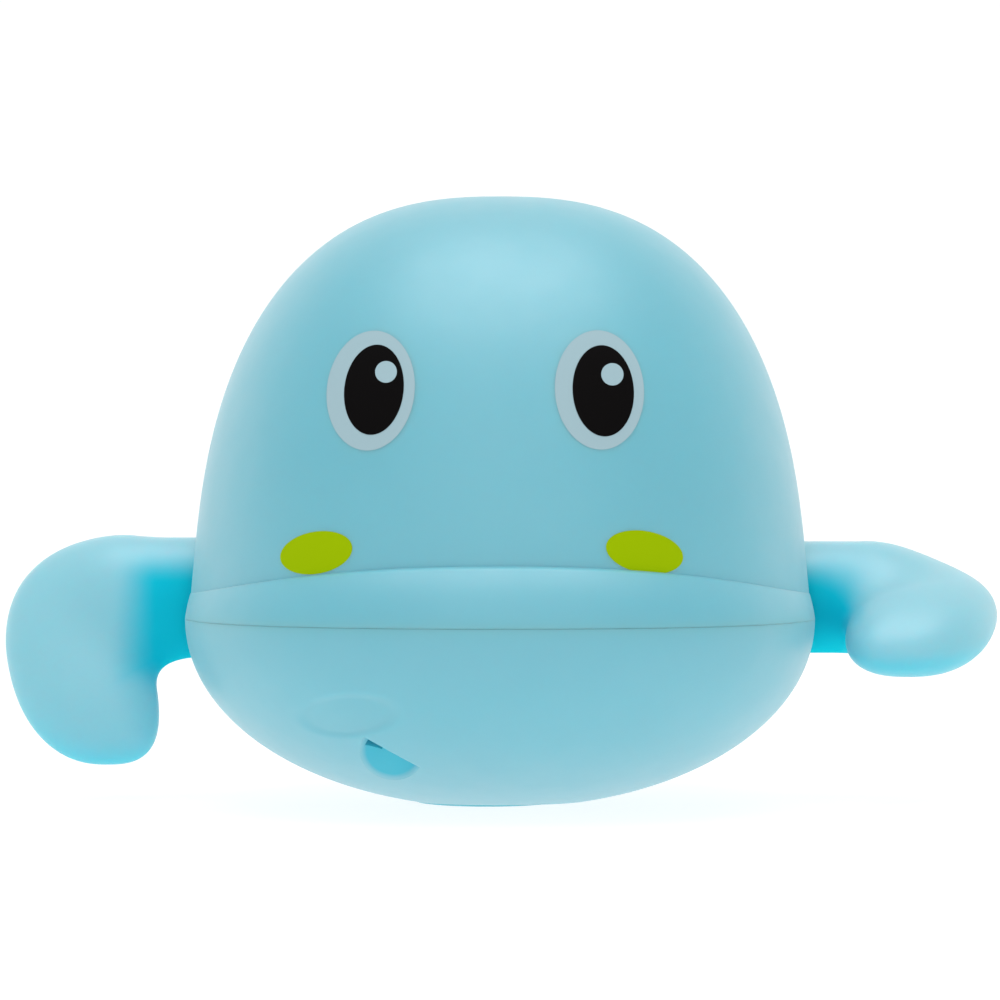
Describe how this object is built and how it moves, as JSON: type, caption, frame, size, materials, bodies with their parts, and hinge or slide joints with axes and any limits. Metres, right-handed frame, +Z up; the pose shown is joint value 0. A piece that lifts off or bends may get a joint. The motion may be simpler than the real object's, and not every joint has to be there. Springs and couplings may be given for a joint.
{
  "type": "wind-up swimming bath toy",
  "caption": "Domed sea-creature bath toy of two moulded shells; a clockwork gear case turns puffy paddle flippers on one cross axle.",
  "frame": {"origin": "on the floor under the flat foot pad, below the middle of the body", "axes": "+Z up, face looks along -Y, +X to the toy's left along the axle"},
  "size_m": [0.1206, 0.0995, 0.0729],
  "materials": {
    "shell": "satin moulded pale aqua plastic, eyes and cheeks pad printed",
    "flipper": "satin moulded pale aqua plastic, slightly translucent",
    "case": "plain natural moulded plastic",
    "gear": "natural acetal, smooth",
    "steel": "bright drawn steel"
  },
  "bodies": {
    "body": {"upper_shell": "shell", "lower_shell": "shell", "axle_bush_left": "gear", "axle_bush_right": "gear", "gear_case_left": "case", "gear_case_right": "case", "idler_shaft": "steel", "spring_arbor": "steel", "case_screw_1": "steel", "case_screw_2": "steel", "case_screw_3": "steel", "tab_screw_left": "steel", "tab_screw_right": "steel", "shell_screw_front_left": "steel", "shell_screw_front_right": "steel", "shell_screw_rear_left": "steel", "shell_screw_rear_right": "steel"},
    "flippers": {"axle": "steel", "axle_pinion": "gear", "flipper_left": "flipper", "flipper_right": "flipper"},
    "idler": {"idler_wheel": "gear"},
    "barrel": {"great_wheel": "gear", "barrel_cover": "gear", "mainspring": "steel"}
  },
  "joints": [
    {"name": "flippers_spin", "type": "hinge", "parent": "body", "child": "flippers", "pos_m": [0, 0.008, 0.0244], "axis": [1, 0, 0], "continuous": true},
    {"name": "idler_spin", "type": "hinge", "parent": "body", "child": "idler", "pos_m": [0, -0.00425, 0.02768], "axis": [1, 0, 0], "continuous": true},
    {"name": "barrel_spin", "type": "hinge", "parent": "body", "child": "barrel", "pos_m": [0, -0.00862, 0.04399], "axis": [1, 0, 0], "continuous": true}
  ],
  "couplings": [
    {"joint": "idler_spin", "follows": "flippers_spin", "ratio": -0.5},
    {"joint": "barrel_spin", "follows": "flippers_spin", "ratio": 0.16667}
  ]
}
